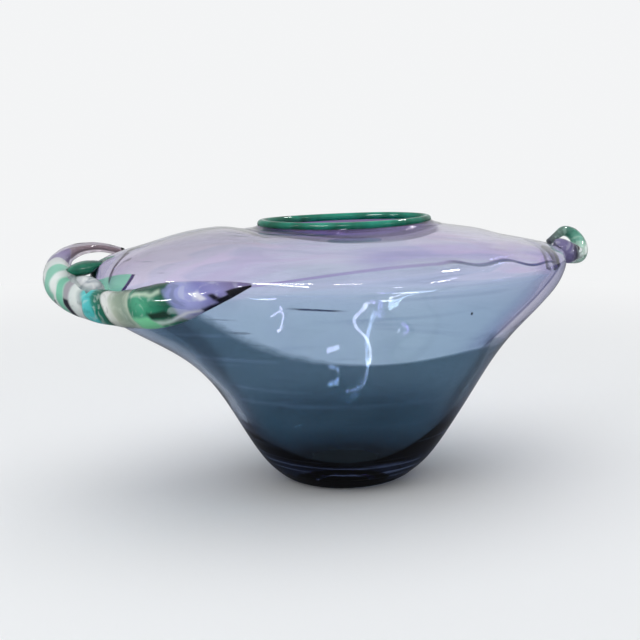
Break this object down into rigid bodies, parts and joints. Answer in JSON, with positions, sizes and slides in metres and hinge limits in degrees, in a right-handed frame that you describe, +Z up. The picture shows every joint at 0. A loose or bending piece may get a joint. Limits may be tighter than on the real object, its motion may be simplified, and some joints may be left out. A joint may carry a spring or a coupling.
{
  "type": "blown glass bowl",
  "caption": "Heavy free-blown glass bowl with a nearly closed oval top, a short collar, a trailed green lip and an applied loop handle at each tip.",
  "frame": {"origin": "centre of the flat ground foot, on the surface the bowl stands on", "axes": "+X along the bowl's long axis towards the small handle, +Y away from the side that the larger handle is drawn along, +Z up through the mouth"},
  "size_m": [0.3569, 0.174, 0.1621],
  "materials": {
    "smoky_blue_glass": "clear polished glass, lavender at the shoulder, steel blue in the side and nearly black in the solid base",
    "green_glass": "fire-polished deep green glass",
    "banded_glass": "clear glass over wrapped bands of turquoise, green, cream, lavender and black",
    "pale_green_glass": "clear glass over pale green, violet at the root"
  },
  "bodies": {
    "root": {"bowl_body": "smoky_blue_glass", "lip_wrap": "green_glass", "left_handle": "banded_glass", "right_handle": "pale_green_glass"}
  },
  "joints": []
}
